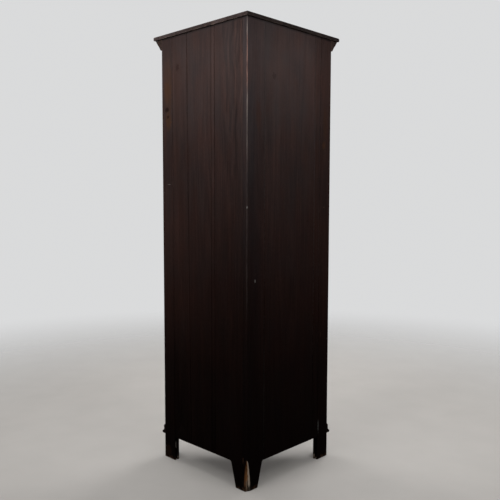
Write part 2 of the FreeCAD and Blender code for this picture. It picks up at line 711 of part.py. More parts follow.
def lower_door():
    sight_low = LOWER_DOOR_LOW + LOWER_BOTTOM_RAIL_HEIGHT
    sight_high = LOWER_DOOR_HIGH - LOWER_TOP_RAIL_HEIGHT
    groove = front_block(
        (-SIGHT_HALF - PANEL_GROOVE, SIGHT_HALF + PANEL_GROOVE),
        (PANEL_DEPTH, PANEL_DEPTH + PANEL_THICK + PANEL_FIT),
        (sight_low - PANEL_GROOVE, sight_high + PANEL_GROOVE))
    pieces = door_frame(
        "lower", LOWER_DOOR_LOW, LOWER_DOOR_HIGH, LOWER_BOTTOM_RAIL_HEIGHT, LOWER_TOP_RAIL_HEIGHT, groove)
    pieces["lower_door_panel"] = raised_panel(sight_low, sight_high)
    pieces["lower_panel_moulding"] = Part.makeCompound(panel_moulding(sight_low, sight_high))
    return pieces


def raised_panel(sight_low, sight_high):
    """A panel with a raised field and sloping margins on its front."""
    tuck = PANEL_GROOVE - PANEL_END_GAP
    slab = front_block(
        (-SIGHT_HALF - tuck, SIGHT_HALF + tuck),
        (PANEL_DEPTH, PANEL_DEPTH + PANEL_THICK),
        (sight_low - tuck, sight_high + tuck))
    foot_half = SIGHT_HALF - PANEL_MARGIN
    field_half = foot_half - FIELD_BEVEL
    foot_z = (sight_low + PANEL_MARGIN, sight_high - PANEL_MARGIN)
    field_z = (foot_z[0] + FIELD_BEVEL, foot_z[1] - FIELD_BEVEL)
    front = FRONT_Y + PANEL_DEPTH - FIELD_RISE
    field = Part.makeWedge(
        -field_half, front, field_z[0], foot_z[0], -foot_half,
        field_half, front + FIELD_RISE, field_z[1], foot_z[1], foot_half)
    return joined(slab, field)


def panel_moulding(sight_low, sight_high):
    """Mitred strips on the panel, in the angle that it makes with the door frame."""
    strips = []
    rounded = (MOULDING_WIDTH - PANEL_DEPTH) / 2
    start = (0.0, 0.0)
    crest = (MOULDING_EDGE, 0.0)
    toe = (MOULDING_WIDTH, PANEL_DEPTH)
    runs = [line(start, crest), arc(crest, toe, -rounded), line(toe, (0.0, PANEL_DEPTH))]
    runs += [line((0.0, PANEL_DEPTH), start)]
    corners = [(-SIGHT_HALF, sight_low), (SIGHT_HALF, sight_low)]
    corners += [(SIGHT_HALF, sight_high), (-SIGHT_HALF, sight_high)]
    for index, (x, z) in enumerate(corners):
        next_x, next_z = corners[(index + 1) % len(corners)]
        length = math.hypot(next_x - x, next_z - z)
        along = Vector((next_x - x) / length, 0, (next_z - z) / length)
        inward = Vector(-along.z, 0, along.x)
        origin = front_point(x, 0.0, z)
        face = profile_face(runs, lambda across, depth: origin + inward * across + Vector(0, depth, 0))
        trim_points = [origin, origin + along * length]
        trim_points.append(origin + along * (length - MOULDING_WIDTH) + inward * MOULDING_WIDTH)
        trim_points.append(origin + along * MOULDING_WIDTH + inward * MOULDING_WIDTH)
        trim = flat_face(trim_points).extrude(Vector(0, PANEL_DEPTH, 0))
        strips.append(face.extrude(along * length).common(trim))
    return strips


# Butt hinges

def hinge_levels(low, high):
    """Lower ends of a door's two hinges."""
    return [low + HINGE_INSET, high - HINGE_INSET - HINGE_LENGTH]


def leaf_plate_x(side):
    """The plate of a leaf across the gap: the frame's leaf is on the left, the door's on the right."""
    near = HINGE_X + side * LEAF_GAP / 2
    far = near + side * LEAF_THICK
    return (min(near, far), max(near, far))


def leaf_screw(side, z, fit=0.0):
    """A countersunk screw driven through a leaf from the gap; fit widens it into its own hole."""
    head = front_point(HINGE_X + side * LEAF_GAP / 2, LEAF_DEPTH / 2, z)
    along = Vector(side, 0, 0)
    cone = Part.makeCone(SCREW_HEAD_RADIUS + fit, SCREW_RADIUS + fit, SCREW_HEAD_DEPTH, head, along)
    return joined(cone, rod(head, along, SCREW_LENGTH + fit, SCREW_RADIUS + fit))


def screw_levels(hinge_low):
    pitch = HINGE_LENGTH / SCREWS_PER_LEAF
    return [hinge_low + pitch * (index + 0.5) for index in range(SCREWS_PER_LEAF)]


def hinge_leaf(side, hinge_low):
    """A leaf with its knuckles: the frame's leaf has the odd ones, the door's leaf those between."""
    plate = front_block(leaf_plate_x(side), (HINGE_D, LEAF_DEPTH), (hinge_low, hinge_low + HINGE_LENGTH))
    pitch = HINGE_LENGTH / KNUCKLES
    axis = Vector(0, 0, 1)
    own = []
    others = []
    for index in range(KNUCKLES):
        base = hinge_low + index * pitch
        if (index % 2 == 0) == (side == LEFT):
            start = base + (KNUCKLE_GAP / 2 if index > 0 else 0.0)
            end = base + pitch - (KNUCKLE_GAP / 2 if index < KNUCKLES - 1 else 0.0)
            own.append(rod(front_point(HINGE_X, HINGE_D, start), axis, end - start, BARREL_RADIUS))
        else:
            start = front_point(HINGE_X, HINGE_D, base - KNUCKLE_GAP / 2)
            others.append(rod(start, axis, pitch + KNUCKLE_GAP, BARREL_RADIUS + KNUCKLE_GAP))
    fit = PIN_PRESS_FIT if side == LEFT else PIN_RUNNING_FIT
    bore = rod(front_point(HINGE_X, HINGE_D, hinge_low), axis, HINGE_LENGTH, PIN_RADIUS + fit)
    screws = [leaf_screw(side, z, SCREW_FIT) for z in screw_levels(hinge_low)]
    return joined(plate.cut(others), *own).cut([bore] + screws)


def leaf_pocket(side, hinge_low):
    """What a leaf and its screws take out of the stile that carries them."""
    pocket = front_block(
        leaf_plate_x(side), (HINGE_D, LEAF_DEPTH + LEAF_FIT),
        (hinge_low - LEAF_FIT, hinge_low + HINGE_LENGTH + LEAF_FIT))
    return [pocket] + [leaf_screw(side, z, SCREW_FIT) for z in screw_levels(hinge_low)]


def fit_hinges(pieces):
    """Leaves, pins and screws of both doors, let into the stiles."""
    doors = {"upper": (UPPER_DOOR_LOW, UPPER_DOOR_HIGH), "lower": (LOWER_DOOR_LOW, LOWER_DOOR_HIGH)}
    frame_leaves = []
    frame_screws = []
    pins = []
    for prefix, (low, high) in doors.items():
        levels = hinge_levels(low, high)
        door_leaves = [hinge_leaf(RIGHT, level) for level in levels]
        door_screws = [leaf_screw(RIGHT, z) for level in levels for z in screw_levels(level)]
        pieces[prefix + "_hinge_door_leaves"] = Part.makeCompound(door_leaves)
        pieces[prefix + "_hinge_door_screws"] = Part.makeCompound(door_screws)
        door_stile = prefix + "_door_hinge_stile"
        for level in levels:
            pieces[door_stile] = pieces[door_stile].cut(leaf_pocket(RIGHT, level))
            pieces["front_stile_left"] = pieces["front_stile_left"].cut(leaf_pocket(LEFT, level))
            frame_leaves.append(hinge_leaf(LEFT, level))
            frame_screws += [leaf_screw(LEFT, z) for z in screw_levels(level)]
            pins.append(rod(front_point(HINGE_X, HINGE_D, level), Vector(0, 0, 1), HINGE_LENGTH, PIN_RADIUS))
    pieces["hinge_frame_leaves"] = Part.makeCompound(frame_leaves)
    pieces["hinge_frame_screws"] = Part.makeCompound(frame_screws)
    pieces["hinge_pins"] = Part.makeCompound(pins)


# Knobs and latches

def turned(runs, z):
    """A piece turned about a knob's axis from (radius, depth) runs."""
    face = profile_face(runs, lambda radius, depth: front_point(KNOB_X + radius, depth, z))
    return face.revolve(front_point(KNOB_X, 0.0, z), Vector(0, 1, 0), 360)


def knob(z):
    """Knob and spindle in one turned piece, with a threaded end for the latch."""
    seat = -(ROSE_THICK + KNOB_GAP)
    neck = seat - KNOB_NECK_LENGTH
    tip = (0.0, -KNOB_PROJECTION)
    rim = (KNOB_RADIUS, -KNOB_WIDEST)
    waist = (KNOB_NECK_RADIUS, neck)
    end = LATCH_D + LATCH_THICK + NUT_THICK + THREAD_TAIL
    runs = [arc(tip, rim, -KNOB_DOME), arc(rim, waist, -KNOB_SHOULDER)]
    corners = [waist, (KNOB_NECK_RADIUS, seat), (SPINDLE_RADIUS, seat), (SPINDLE_RADIUS, LATCH_D)]
    corners += [(THREAD_RADIUS, LATCH_D), (THREAD_RADIUS, end), (0.0, end), tip]
    runs += [line(start, stop) for start, stop in zip(corners[:-1], corners[1:])]
    return turned(runs, z)


def latch_pieces(prefix, z):
    """Knob, latch tongue and nut; the tongue hangs down, clear of the frame, until the knob is turned."""
    back = Vector(0, 1, 0)
    reach = OPENING_HALF - KNOB_X + LATCH_LAP
    half = LATCH_WIDTH / 2
    plate_d = (LATCH_D, LATCH_D + LATCH_THICK)
    plate = front_block((KNOB_X - half, KNOB_X + half), plate_d, (z - reach + half, z))
    ends = [rod(front_point(KNOB_X, LATCH_D, end), back, LATCH_THICK, half) for end in (z, z - reach + half)]
    thread = rod(front_point(KNOB_X, LATCH_D, z), back, LATCH_THICK + NUT_THICK, THREAD_RADIUS + THREAD_FIT)
    nut_d = LATCH_D + LATCH_THICK
    turns = [2 * math.pi * index / NUT_SIDES for index in range(NUT_SIDES)]
    corners = [(KNOB_X + NUT_RADIUS * math.cos(turn), z + NUT_RADIUS * math.sin(turn)) for turn in turns]
    nut = flat_face([front_point(x, nut_d, up) for x, up in corners]).extrude(back * NUT_THICK)
    return {
        prefix + "_knob": knob(z),
        prefix + "_latch_tongue": joined(plate, *ends).cut(thread),
        prefix + "_latch_nut": nut.cut(thread),
    }


def fit_latches(pieces):
    back = Vector(0, 1, 0)
    for prefix, z in {"upper": UPPER_KNOB_Z, "lower": LOWER_KNOB_Z}.items():
        face = front_point(KNOB_X, -ROSE_THICK, z)
        bore = rod(face, back, ROSE_THICK + DOOR_THICK, SPINDLE_RADIUS + SPINDLE_FIT)
        rose = rod(face, back, ROSE_THICK, ROSE_RADIUS)
        stile = prefix + "_door_lock_stile"
        pieces[stile] = pieces[stile].cut(bore)
        pieces[prefix + "_knob_rose"] = rose.cut(bore)
        pieces.update(latch_pieces(prefix, z))


def cabinet():
    pieces = {}
    pieces.update(wall_pieces())
    pieces.update(board_pieces())
    pieces["top_board"] = top_board()
    cornice_low = TOP_UNDERSIDE - CORNICE_HEIGHT
    pieces.update(mouldings("cornice", cornice_runs(), cornice_low, CORNICE_HEIGHT, CORNICE_PROJECTION))
    pieces.update(mouldings("base_moulding", base_runs(), FOOT_HEIGHT, BASE_HEIGHT, BASE_PROJECTION))
    pieces.update(frame_pieces())
    pieces.update(upper_door())
    pieces.update(lower_door())
    fit_hinges(pieces)
    fit_latches(pieces)
    return pieces


def main():
    os.makedirs("parts", exist_ok=True)
    for name, shape in cabinet().items():
        shape.exportStep("parts/" + name + ".step")


main()
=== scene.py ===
"""Corner cabinet seen from behind: finishes of its pieces, the studio and the camera.

Metres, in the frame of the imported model. The doors face -Y and the back corner is at +Y.
"""
import json
import math

import bpy
from mathutils import Matrix, Vector

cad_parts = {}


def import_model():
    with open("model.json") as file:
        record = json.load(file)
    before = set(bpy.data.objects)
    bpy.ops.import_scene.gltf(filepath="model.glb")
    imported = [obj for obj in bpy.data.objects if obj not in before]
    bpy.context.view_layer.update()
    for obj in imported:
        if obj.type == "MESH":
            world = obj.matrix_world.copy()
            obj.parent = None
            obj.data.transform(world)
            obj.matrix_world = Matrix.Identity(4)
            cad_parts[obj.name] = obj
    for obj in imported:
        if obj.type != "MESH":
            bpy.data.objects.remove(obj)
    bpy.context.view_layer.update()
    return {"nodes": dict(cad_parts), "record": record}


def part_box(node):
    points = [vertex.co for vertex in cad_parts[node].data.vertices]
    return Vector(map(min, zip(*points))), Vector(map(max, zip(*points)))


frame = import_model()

ROOT2 = math.sqrt(2.0)
TINY = 0.00001

# Camera, fitted to the wall planes in the photograph; its place is given from the back corner on the floor
FOCAL_PIXELS = 630.03
FRAME_PIXELS = 500
SENSOR = 36.0
CAMERA_FROM_CORNER = (0.0163, 2.077, 0.9925)
CAMERA_TURN = 0.0126
CAMERA_PITCH = 0.0782
CAMERA_ROLL = 0.0018

# Studio
BACKGROUND = (0.70, 0.705, 0.71)
AMBIENT = 0.08
FLOOR_COLOUR = (0.36, 0.343, 0.325)
FLOOR_BOUNCE = (0.11, 0.105, 0.10)
FLOOR_TONES = (0.97, 1.03)
FLOOR_ROUGHNESS = 0.7
FLOOR_GLOSS = 0.2
FLOOR_GLOW = 0.07
FLOOR_RADIUS = 3.6
FLOOR_CORNERS = 96
FLOOR_FADE_START = 1.1
FLOOR_DROP = 0.0003
LAMPS = {
    # name: (place, aim, size, spread in degrees, watts)
    "overhead_lamp": ((0.0, 0.1, 2.9), (0.0, 0.1, 0.0), 3.0, 150.0, 38.0),
    "back_left_lamp": ((1.25, 1.05, 2.35), (0.15, 0.1, 1.62), 0.9, 80.0, 9.0),
    "back_right_lamp": ((-1.25, 1.05, 2.35), (-0.15, 0.1, 1.62), 0.9, 80.0, 6.2),
    "front_left_lamp": ((-1.5, -2.0, 2.3), (0.0, 0.0, 1.0), 1.3, 180.0, 46.0),
    "front_right_lamp": ((1.7, -1.8, 2.3), (0.0, 0.0, 1.0), 1.3, 180.0, 28.0),
}

# Noise patterns: repeats in a metre across the grain and along it, then detail and roughness
PATTERNS = {
    "bend": (4.0, 0.7, 2.0, 0.5),
    "figure": (11.0, 0.55, 1.0, 0.4),
    "fibres": (240.0, 3.5, 2.0, 0.6),
    "hairs": (1100.0, 13.0, 3.0, 0.6),
    "pores": (700.0, 14.0, 2.0, 0.5),
    "blotch": (7.0, 1.8, 3.0, 0.55),
    "red": (70.0, 0.8, 2.0, 0.5),
    "sway": (14.0, 6.0, 1.0, 0.5),
    "streaks": (110.0, 2.2, 3.0, 0.6),
    "worn": (60.0, 9.0, 3.0, 0.5),
    "ragged": (220.0, 120.0, 3.0, 0.5),
    "arris_rub": (120.0, 18.0, 4.0, 0.6),
    "splinter": (900.0, 24.0, 3.0, 0.5),
    "mottle": (220.0, 80.0, 3.0, 0.6),
    "cloud": (9.0, 4.0, 4.0, 0.6),
    "hue": (16.0, 6.0, 3.0, 0.55),
    "foot_scuff": (90.0, 60.0, 3.0, 0.5),
    "glass_waves": (9.0, 5.0, 1.0, 0.5),
    "tarnish": (90.0, 90.0, 4.0, 0.6),
    "scratches": (2500.0, 300.0, 2.0, 0.5),
    "floor": (6.0, 6.0, 4.0, 0.5),
}

# The middle of a noise, and the noise values between which a pattern goes from none to all
NOISE_MIDDLE = (0.5, 0.5, 0.5)
SPREAD = (0.3, 0.7)
SPREADS = {
    "pores": (0.6, 0.72),
    "red": (0.48, 0.72),
    "streaks": (0.34, 0.66),
    "worn": (0.40, 0.58),
    "arris_rub": (0.34, 0.66),
    "hue": (0.36, 0.64),
    "foot_scuff": (0.42, 0.58),
    "tarnish": (0.35, 0.65),
}

# Colours
WHITE = (1.0, 1.0, 1.0)
STAIN_DARK = (0.0105, 0.0053, 0.0044)
STAIN_MIDDLE = (0.0190, 0.0097, 0.0081)
STAIN_LIGHT = (0.0310, 0.0163, 0.0134)
STAIN_RED = (0.0420, 0.0180, 0.0115)
# Grey dust, which also stands for painted sheen on the back's upper half and a painted highlight along
# plank joints
DUST_AND_SHEEN = (0.060, 0.048, 0.046)
# Light line in a low joint: dust and a painted highlight
JOINT_DUST_AND_HIGHLIGHT = (0.030, 0.027, 0.025)
WARM = (1.07, 0.98, 0.96)
COOL = (0.90, 0.97, 1.02)
PORE = (0.004, 0.0025, 0.002)
WORN_DARK = (0.080, 0.042, 0.026)
WORN_LIGHT = (0.20, 0.125, 0.085)
RUBBED_PINK = (0.230, 0.135, 0.110)
RUBBED_GREY = (0.220, 0.185, 0.165)
RAW_LIGHT = (0.74, 0.61, 0.48)
RAW_BROWN = (0.44, 0.20, 0.075)
WORN_BROWN = (0.20, 0.085, 0.035)
ORANGE = (0.060, 0.026, 0.010)
PALE = (0.36, 0.32, 0.29)
GREY = (0.10, 0.105, 0.10)
SLIVER = (0.30, 0.245, 0.185)
GLASS_COLOUR = (0.93, 0.96, 0.95)
BRASS_BRIGHT = (0.52, 0.36, 0.14)
BRASS_DULL = (0.24, 0.15, 0.06)

# Grain of the wood
GRAIN_BEND = 0.03
FIGURE_RINGS = 88.0
STREAK_SWAY = 0.035
GRAIN_SHARES = {"hairs": 0.45, "fibres": 0.25, "figure": 0.2, "blotch": 0.1}
STAIN_STOPS = [(0.15, STAIN_DARK), (0.5, STAIN_MIDDLE), (0.85, STAIN_LIGHT)]
BLOTCH_TONES = (0.85, 1.15)
PORE_SHARE = 0.6
WOOD_ROUGHNESS = (0.56, 0.42)
WOOD_RELIEF = (0.3, 0.0006)
FRONT_GRAIN = {"Red": 0.25, "Streak": 0.25, "Wear": 1.0}
BACK_GRAIN = {"Red": 0.08, "Streak": 0.08}
BACK_WEAR = [(0.5, 0.03), (1.2, 0.14)]
PATTERN_STEP = (1.37, 0.71, 2.3)
MATT_ROUGHNESS = 0.35
MATT_GLOSS = 0.01
WAX_GLOSS = 0.25

# Wear of the edges and the feet, and small nicks
EDGE_REACH = 0.003
EDGE_SAMPLES = 6
EDGE_TURN = (0.99, 0.80)
NICKS_IN_A_METRE = 30.0
NICK_REACH = (0.045, 0.02)
NICK_CHANCE = (0.55, 0.6)
NICK_WEAR = 0.5
WORN_STOPS = [(0.2, WORN_DARK), (0.9, WORN_LIGHT)]
WORN_ROUGHNESS = 0.2
SCUFF_REACH = (0.016, 0.004)
FLOOR_TOUCH = 0.001

# Wide pieces are glued up from boards: the axis across the boards, and how wide they are
BOARDS = {
    "top_board": (1, 0.135),
    "bottom_board": (1, 0.120),
    "middle_board": (1, 0.120),
    "lower_shelf": (1, 0.130),
    "upper_shelf_low": (1, 0.125),
    "upper_shelf_high": (1, 0.140),
    "lower_door_panel": (0, 0.118),
}
BOARD_SHIFT = 20.4
BOARD_STEP = (1.7, 2.9, 0.6)
BOARD_TONES = (0.8, 1.2)
SEAM = 0.0006
SEAM_SHARE = 0.8

# Tints of the pieces
PLAIN_TINT = (1.0, 1.0, 1.0)
INNER_TINT = (4.4, 4.6, 4.3)
FRONT_TINT = (1.3, 1.15, 1.0)
END_TINT = (2.0, 2.6, 2.7)
TINTS = {
    "top_board": (0.95, 1.02, 1.08),
    "plank_left_1": (1.02, 1.08, 1.14),
    "plank_left_2": (1.02, 1.07, 1.10),
    "plank_left_3": (0.97, 0.91, 0.88),
    "wall_stile_right": (1.0, 0.97, 0.95),
    "wall_stile_left": (0.90, 0.80, 0.76),
}

# Painted light and shade on faces of other pieces that look out from a back wall: painted light on the top
# board's edges, and painted shade on the mouldings' cut ends, deeper near the floor
TOP_EDGE_PAINTED_LIGHT = {"right": (2.1, 2.8, 3.1), "left": (0.9, 1.25, 1.35)}
CORNICE_END_SHADE = (0.7, 0.7, 0.7)
BASE_END_SHADE = (0.25, 0.25, 0.25)
CUT_ENDS = {
    "cornice_right": CORNICE_END_SHADE,
    "cornice_left": CORNICE_END_SHADE,
    "base_moulding_right": BASE_END_SHADE,
    "base_moulding_left": BASE_END_SHADE,
}
FACING = (0.7, 0.9)

# Places on the back walls: s along a wall from the back corner, t into the wood, z up
CORNER_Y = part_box("plank_left_1")[1].y
WALL_LENGTH = 0.445
INNER_FACE = (0.010, 0.016)
CORNER_EDGE = (0.001, 0.003)
FOOT_TOP = (0.088, 0.092)
END_FACE = (WALL_LENGTH - 0.0015, WALL_LENGTH - 0.0005)

# Painted light and shade: the back is lightest near the top and darkest at the floor, with a painted shadow
# line under the top board, as (z, tone), and its grain is calm low down
BACK_LIGHT_AND_SHADE = [
    (0.05, 0.20), (0.40, 0.43), (0.74, 0.99), (1.12, 1.07), (1.44, 1.36), (1.50, 1.36), (1.56, 1.24),
    (1.578, 1.20), (1.583, 0.40),
]
CALM = [(0.75, 0.55), (1.25, 0.2)]
MOTTLE_TONES = (0.86, 1.14)

# Painted shade and light: its lower half is darker near the corner and lighter towards the sides, as (s,
# tone), at these heights
LOW_PAINTED_SHADE = {
    "right": [(0.03, 0.80), (0.15, 0.95), (0.25, 1.15), (0.35, 1.30), (0.42, 1.60)],
    "left": [(0.03, 0.73), (0.09, 1.03), (0.30, 1.01), (0.42, 1.12)],
}
LOW_PAINTED_SHADE_REACH = [(0.38, 0.4), (0.52, 1.0), (0.85, 1.0), (1.12, 0.0)]

# Dust and painted sheen lie on its upper half, as (z, share of the most), and the most varies along a wall,
# as (s, share)
DUST_AND_SHEEN_REACH = [(0.70, 0.0), (1.20, 0.51), (1.45, 1.0), (1.50, 1.0), (1.56, 0.80)]
DUST_AND_SHEEN_MOST = {
    "right": [(0.02, 0.47), (0.12, 0.36)],
    "left": [(0.05, 0.47), (0.20, 0.46), (0.33, 0.34), (0.42, 0.22)],
}
CLOUD_TONES = (0.7, 1.3)

# The plank whose grain is streaky beside the arris, most of all near the top
CORNER_PLANK = "plank_right_1"
CORNER_GRAIN = {"Red": 0.5, "Streak": 0.95}
CORNER_REACH = (0.14, 0.05)
CORNER_RISE = [(0.9, 0.2), (1.3, 1.0)]

# The back arris: how much is rubbed light, partly wear and partly a painted highlight along the edge, and
# how much of that is pink, as (z, share)
ARRIS_PLANK = "plank_left_1"
ARRIS_WEAR_AND_HIGHLIGHT = [(0.58, 0.0), (0.66, 0.13), (1.10, 0.15), (1.30, 1.0), (1.48, 1.0), (1.60, 0.75)]
PINK_REACH = [(1.33, 0.0), (1.38, 1.0), (1.51, 1.0), (1.54, 0.0)]
ARRIS_REACH = (0.0030, 0.0013)
ARRIS_RUB = (0.15, 1.0)
COOL_REACH = (0.075, 0.03)

# The split in the back foot: bare wood that ends in two slivers, brown with painted shade on one side and
# pale with a painted highlight on the other, a stain beside it, and dirt at the floor
CHIP_HEIGHT = 0.112
CHIP_WIDTH = 0.018
CHIP_SWELL = 0.45
CHIP_RAGGED = 0.10
CHIP_EDGE = (1.04, 0.96)
CHIP_START = (0.04, 0.16)
CHIP_TIP = (0.0, 0.03)
CHIP_TONES = (0.6, 1.15)
CHIP_LIGHT_AND_SHADE_STOPS = [
    (0.0, STAIN_MIDDLE), (0.12, RAW_BROWN), (0.40, RAW_BROWN), (0.45, STAIN_RED), (0.54, RAW_LIGHT),
    (1.0, RAW_LIGHT),
]
CRACK_RISE = (0.044, 0.034)
CRACK_PLACE = 0.47
CRACK_EDGE = (0.12, 0.05)
SLIVER_EDGE = (0.47, 0.40)
SLIVER_SHARE = 0.7
STAIN_WIDTH = 0.016
STAIN_RAGGED = 0.2
STAIN_EDGE = (1.0, 0.7)
STAIN_FACE = (0.002, 0.0005)
STAIN_RISE = (0.1, 0.5)
DIRT = [(0.024, 0.15), (0.036, 1.0)]
DIRT_RAGGED = 0.02

# Marks on the outside of the back: (s, t, z), half sizes along them, colour, strength
SPOT_RAGGED = 0.5
SPOT_EDGE = (1.15, 0.75)
MARKS = {
    "wall_stile_right": [
        ((0.415, 0.0, 1.395), (0.018, 0.01, 0.038), ORANGE, 0.42),
        ((0.408, 0.0, 1.283), (0.017, 0.01, 0.030), ORANGE, 0.42),
        ((0.411, 0.0, 1.40), (0.024, 0.02, 0.12), ORANGE, 0.22),
        ((0.417, 0.0, 1.327), (0.011, 0.01, 0.009), STAIN_DARK, 0.8),
        ((0.411, 0.0, 1.300), (0.007, 0.01, 0.006), STAIN_DARK, 0.7),
        ((0.407, 0.0, 1.052), (0.0075, 0.003, 0.0012), RUBBED_GREY, 0.5),
        ((0.425, 0.0, 0.030), (0.018, 0.004, 0.020), WORN_DARK, 0.2),
        ((0.385, -0.007, 0.059), (0.004, 0.004, 0.014), PALE, 0.9),
    ],
    "wall_stile_left": [
        ((0.413, 0.0, 1.280), (0.013, 0.01, 0.055), ORANGE, 0.15),
        ((0.407, 0.0, 1.198), (0.010, 0.01, 0.014), ORANGE, 0.35),
        ((0.411, 0.0, 0.968), (0.004, 0.003, 0.0015), WORN_DARK, 0.7),
        ((0.399, 0.0, 0.487), (0.0015, 0.003, 0.010), WORN_DARK, 0.3),
        ((0.390, 0.0, 0.130), (0.0030, 0.003, 0.022), GREY, 0.7),
    ],
    "plank_left_1": [
        ((0.055, 0.0, 1.27), (0.012, 0.004, 0.05), STAIN_RED, 0.35),
        ((0.0, 0.0, 0.970), (0.0030, 0.0030, 0.004), PALE, 0.4),
        ((0.039, 0.0, 0.722), (0.0014, 0.003, 0.0045), PALE, 0.55),
        ((0.0, 0.018, 0.108), (0.003, 0.003, 0.010), WORN_DARK, 0.7),
    ],
    "plank_left_2": [
        ((0.131, 0.0, 1.413), (0.009, 0.004, 0.012), STAIN_DARK, 0.3),
    ],
    "plank_right_3": [
        ((0.355, 0.0, 1.473), (0.009, 0.004, 0.012), STAIN_DARK, 0.45),
        ((0.372, 0.0, 1.30), (0.030, 0.01, 0.25), STAIN_RED, 0.15),
    ],
}

# Lines along the joints of the planks: the pieces that show them, then as for the marks. The dark lines are
# dark joints; the light ones are partly dust and partly a painted highlight along the plank edges
JOINT_LINES = [
    (("plank_left_1", "plank_left_2"), (0.084, 0.0, 1.35), (0.0030, 0.004, 0.60), DUST_AND_SHEEN, 0.3),
    (("plank_left_1", "plank_left_2"), (0.084, 0.0, 0.33), (0.0020, 0.004, 0.25), JOINT_DUST_AND_HIGHLIGHT, 0.5),
    (("plank_left_2", "plank_left_3"), (0.352, 0.0, 1.25), (0.0030, 0.004, 0.80), DUST_AND_SHEEN, 0.25),
    (("plank_left_3",), (0.385, 0.0, 1.25), (0.0030, 0.004, 0.80), DUST_AND_SHEEN, 0.4),
    (("plank_right_1", "plank_right_2"), (0.158, 0.0, 1.26), (0.0035, 0.004, 0.40), STAIN_DARK, 0.2),
    (("plank_right_2", "plank_right_3"), (0.302, 0.0, 1.44), (0.0050, 0.004, 0.16), STAIN_DARK, 0.3),
    (("plank_right_2", "plank_right_3"), (0.298, 0.0, 1.06), (0.0050, 0.004, 0.24), STAIN_DARK, 0.15),
    (("plank_right_3",), (0.385, 0.0, 1.25), (0.0030, 0.004, 0.80), DUST_AND_SHEEN, 0.3),
]

# Corners of the front feet that are worn down to the bare wood, as for the marks
FOOT_CHIPS = {
    "wall_stile_right": [((0.385, -0.018, 0.004), (0.005, 0.010, 0.012), RAW_LIGHT, 0.7)],
    "wall_stile_left": [((0.385, 0.017, 0.005), (0.005, 0.012, 0.014), RAW_LIGHT, 0.8)],
}

# Glass and brass; the low IOR keeps reflections in the panes faint
GLASS_ROUGHNESS = 0.02
GLASS_IOR = 1.25
GLASS_RELIEF = (0.15, 0.002)
BRASS_ROUGHNESS = (0.28, 0.48)
SCRATCH_ROUGHNESS = 0.05
BRASS_RELIEF = (0.08, 0.0002)

# Directions of the grain
UP = (0.0, 0.0, 1.0)
ACROSS = (1.0, 0.0, 0.0)
CANT_RIGHT = (-1.0, -1.0, 0.0)
CANT_LEFT = (1.0, -1.0, 0.0)

# Rounding of the wooden edges
FINE_EDGE = 0.0005
BACK_EDGE = 0.0006
PLAIN_EDGE = 0.0010
EDGE_SEGMENTS = 2
FLAT_DEGREES = 0.5
SHARP_DEGREES = 35.0


def opaque(colour):
    return (colour[0], colour[1], colour[2], 1.0)


# Shader nodes

def add(tree, kind, inputs=None, **settings):
    """A new node with its settings and inputs; an input is a value or another node's output."""
    made = tree.nodes.new(kind)
    for name, value in settings.items():
        setattr(made, name, value)
    for key, value in (inputs or {}).items():
        if isinstance(value, bpy.types.NodeSocket):
            tree.links.new(value, made.inputs[key])
        else:
            made.inputs[key].default_value = value
    return made


def calc(tree, operation, first, second=0.0, clamp=False):
    made = add(tree, "ShaderNodeMath", {0: first, 1: second}, operation=operation, use_clamp=clamp)
    return made.outputs[0]


def vector_calc(tree, operation, first, second=(0.0, 0.0, 0.0), scale=1.0):
    given = {0: first, "Scale": scale} if operation == "SCALE" else {0: first, 1: second}
    made = add(tree, "ShaderNodeVectorMath", given, operation=operation)
    return made.outputs["Value" if operation in ("DOT_PRODUCT", "LENGTH") else "Vector"]


def between(tree, value, low, high, start=0.0, end=1.0):
    """A value's place between low and high, from start to end, and held there."""
    return add(tree, "ShaderNodeMapRange", {0: value, 1: low, 2: high, 3: start, 4: end}).outputs[0]


def tones(tree, share, start, end):
    """From start to end as a share goes from nought to one."""
    return between(tree, share, 0.0, 1.0, start, end)


def curve(tree, value, stops):
    """A line through (value, result) stops, level beyond both ends."""
    total = stops[0][1]
    for (low, start), (high, end) in zip(stops, stops[1:]):
        total = calc(tree, "ADD", total, between(tree, value, low, high, 0.0, end - start))
    return total


def noise(tree, name, vector, output="Fac"):
    """One of the patterns as plain noise, drawn out along Z."""
    across, along, detail, roughness = PATTERNS[name]
    drawn_out = vector_calc(tree, "MULTIPLY", vector, (across, across, along))
    values = {"Vector": drawn_out, "Scale": 1.0, "Detail": detail, "Roughness": roughness}
    return add(tree, "ShaderNodeTexNoise", values).outputs[output]


def pattern(tree, name, vector, start=0.0, end=1.0):
    """One of the patterns, from start to end over its spread."""
    low, high = SPREADS.get(name, SPREAD)
    return between(tree, noise(tree, name, vector), low, high, start, end)


def swayed(tree, name, vector, moved, reach):
    """Coordinates that a noise pushes to and fro across the grain."""
    push = vector_calc(tree, "SUBTRACT", noise(tree, name, vector, "Color"), NOISE_MIDDLE)
    push = vector_calc(tree, "MULTIPLY", push, (reach, reach, 0.0))
    return vector_calc(tree, "ADD", moved, push)


def blend(tree, share, first, second, mode="MIX"):
    made = add(tree, "ShaderNodeMix", {0: share, 6: first, 7: second}, data_type="RGBA", blend_type=mode)
    return made.outputs[2]


def multiply(tree, colour, tone):
    """A colour times a tone or a tint."""
    return blend(tree, 1.0, colour, tone, "MULTIPLY")


def ramp(tree, share, stops):
    """Colours along a value, as (place, colour) stops from low to high."""
    made = add(tree, "ShaderNodeValToRGB", {0: share})
    elements = made.color_ramp.elements
    for place, colour in stops[1:-1]:
        elements.new(place)
    for element, (place, colour) in zip(elements, stops):
        element.position = place
        element.color = opaque(colour)
    return made.outputs["Color"]


def relief(tree, height, strength, distance):
    values = {"Strength": strength, "Distance": distance, "Height": height}
    return add(tree, "ShaderNodeBump", values).outputs[0]


